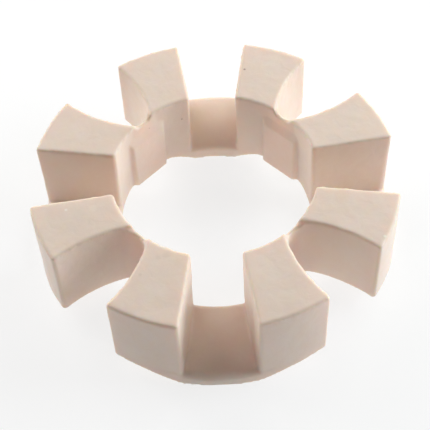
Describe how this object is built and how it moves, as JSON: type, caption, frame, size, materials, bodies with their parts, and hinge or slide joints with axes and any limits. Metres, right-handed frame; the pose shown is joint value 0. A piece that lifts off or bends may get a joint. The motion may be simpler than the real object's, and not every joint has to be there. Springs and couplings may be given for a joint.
{
  "type": "jaw coupling element",
  "caption": "Ring-shaped polyurethane flexible element for a jaw coupling, with upright cushions, floored slots for one hub's jaws and open round-bottomed pockets for the other's.",
  "frame": {"origin": "on the ring's axis, level with the undersides of the slot floors", "axes": "+Z along the ring's axis, up out of the slots; the slots lie on +X, +Y, -X and -Y and the pockets midway between them"},
  "size_m": [0.2, 0.2, 0.0536],
  "materials": {
    "polyurethane": "matt, as cast"
  },
  "bodies": {
    "root": {"cushion_1": "polyurethane", "cushion_2": "polyurethane", "cushion_3": "polyurethane", "cushion_4": "polyurethane", "cushion_5": "polyurethane", "cushion_6": "polyurethane", "cushion_7": "polyurethane", "cushion_8": "polyurethane", "slot_floor_1": "polyurethane", "slot_floor_2": "polyurethane", "slot_floor_3": "polyurethane", "slot_floor_4": "polyurethane", "pocket_web_1": "polyurethane", "pocket_web_2": "polyurethane", "pocket_web_3": "polyurethane", "pocket_web_4": "polyurethane"}
  },
  "joints": []
}
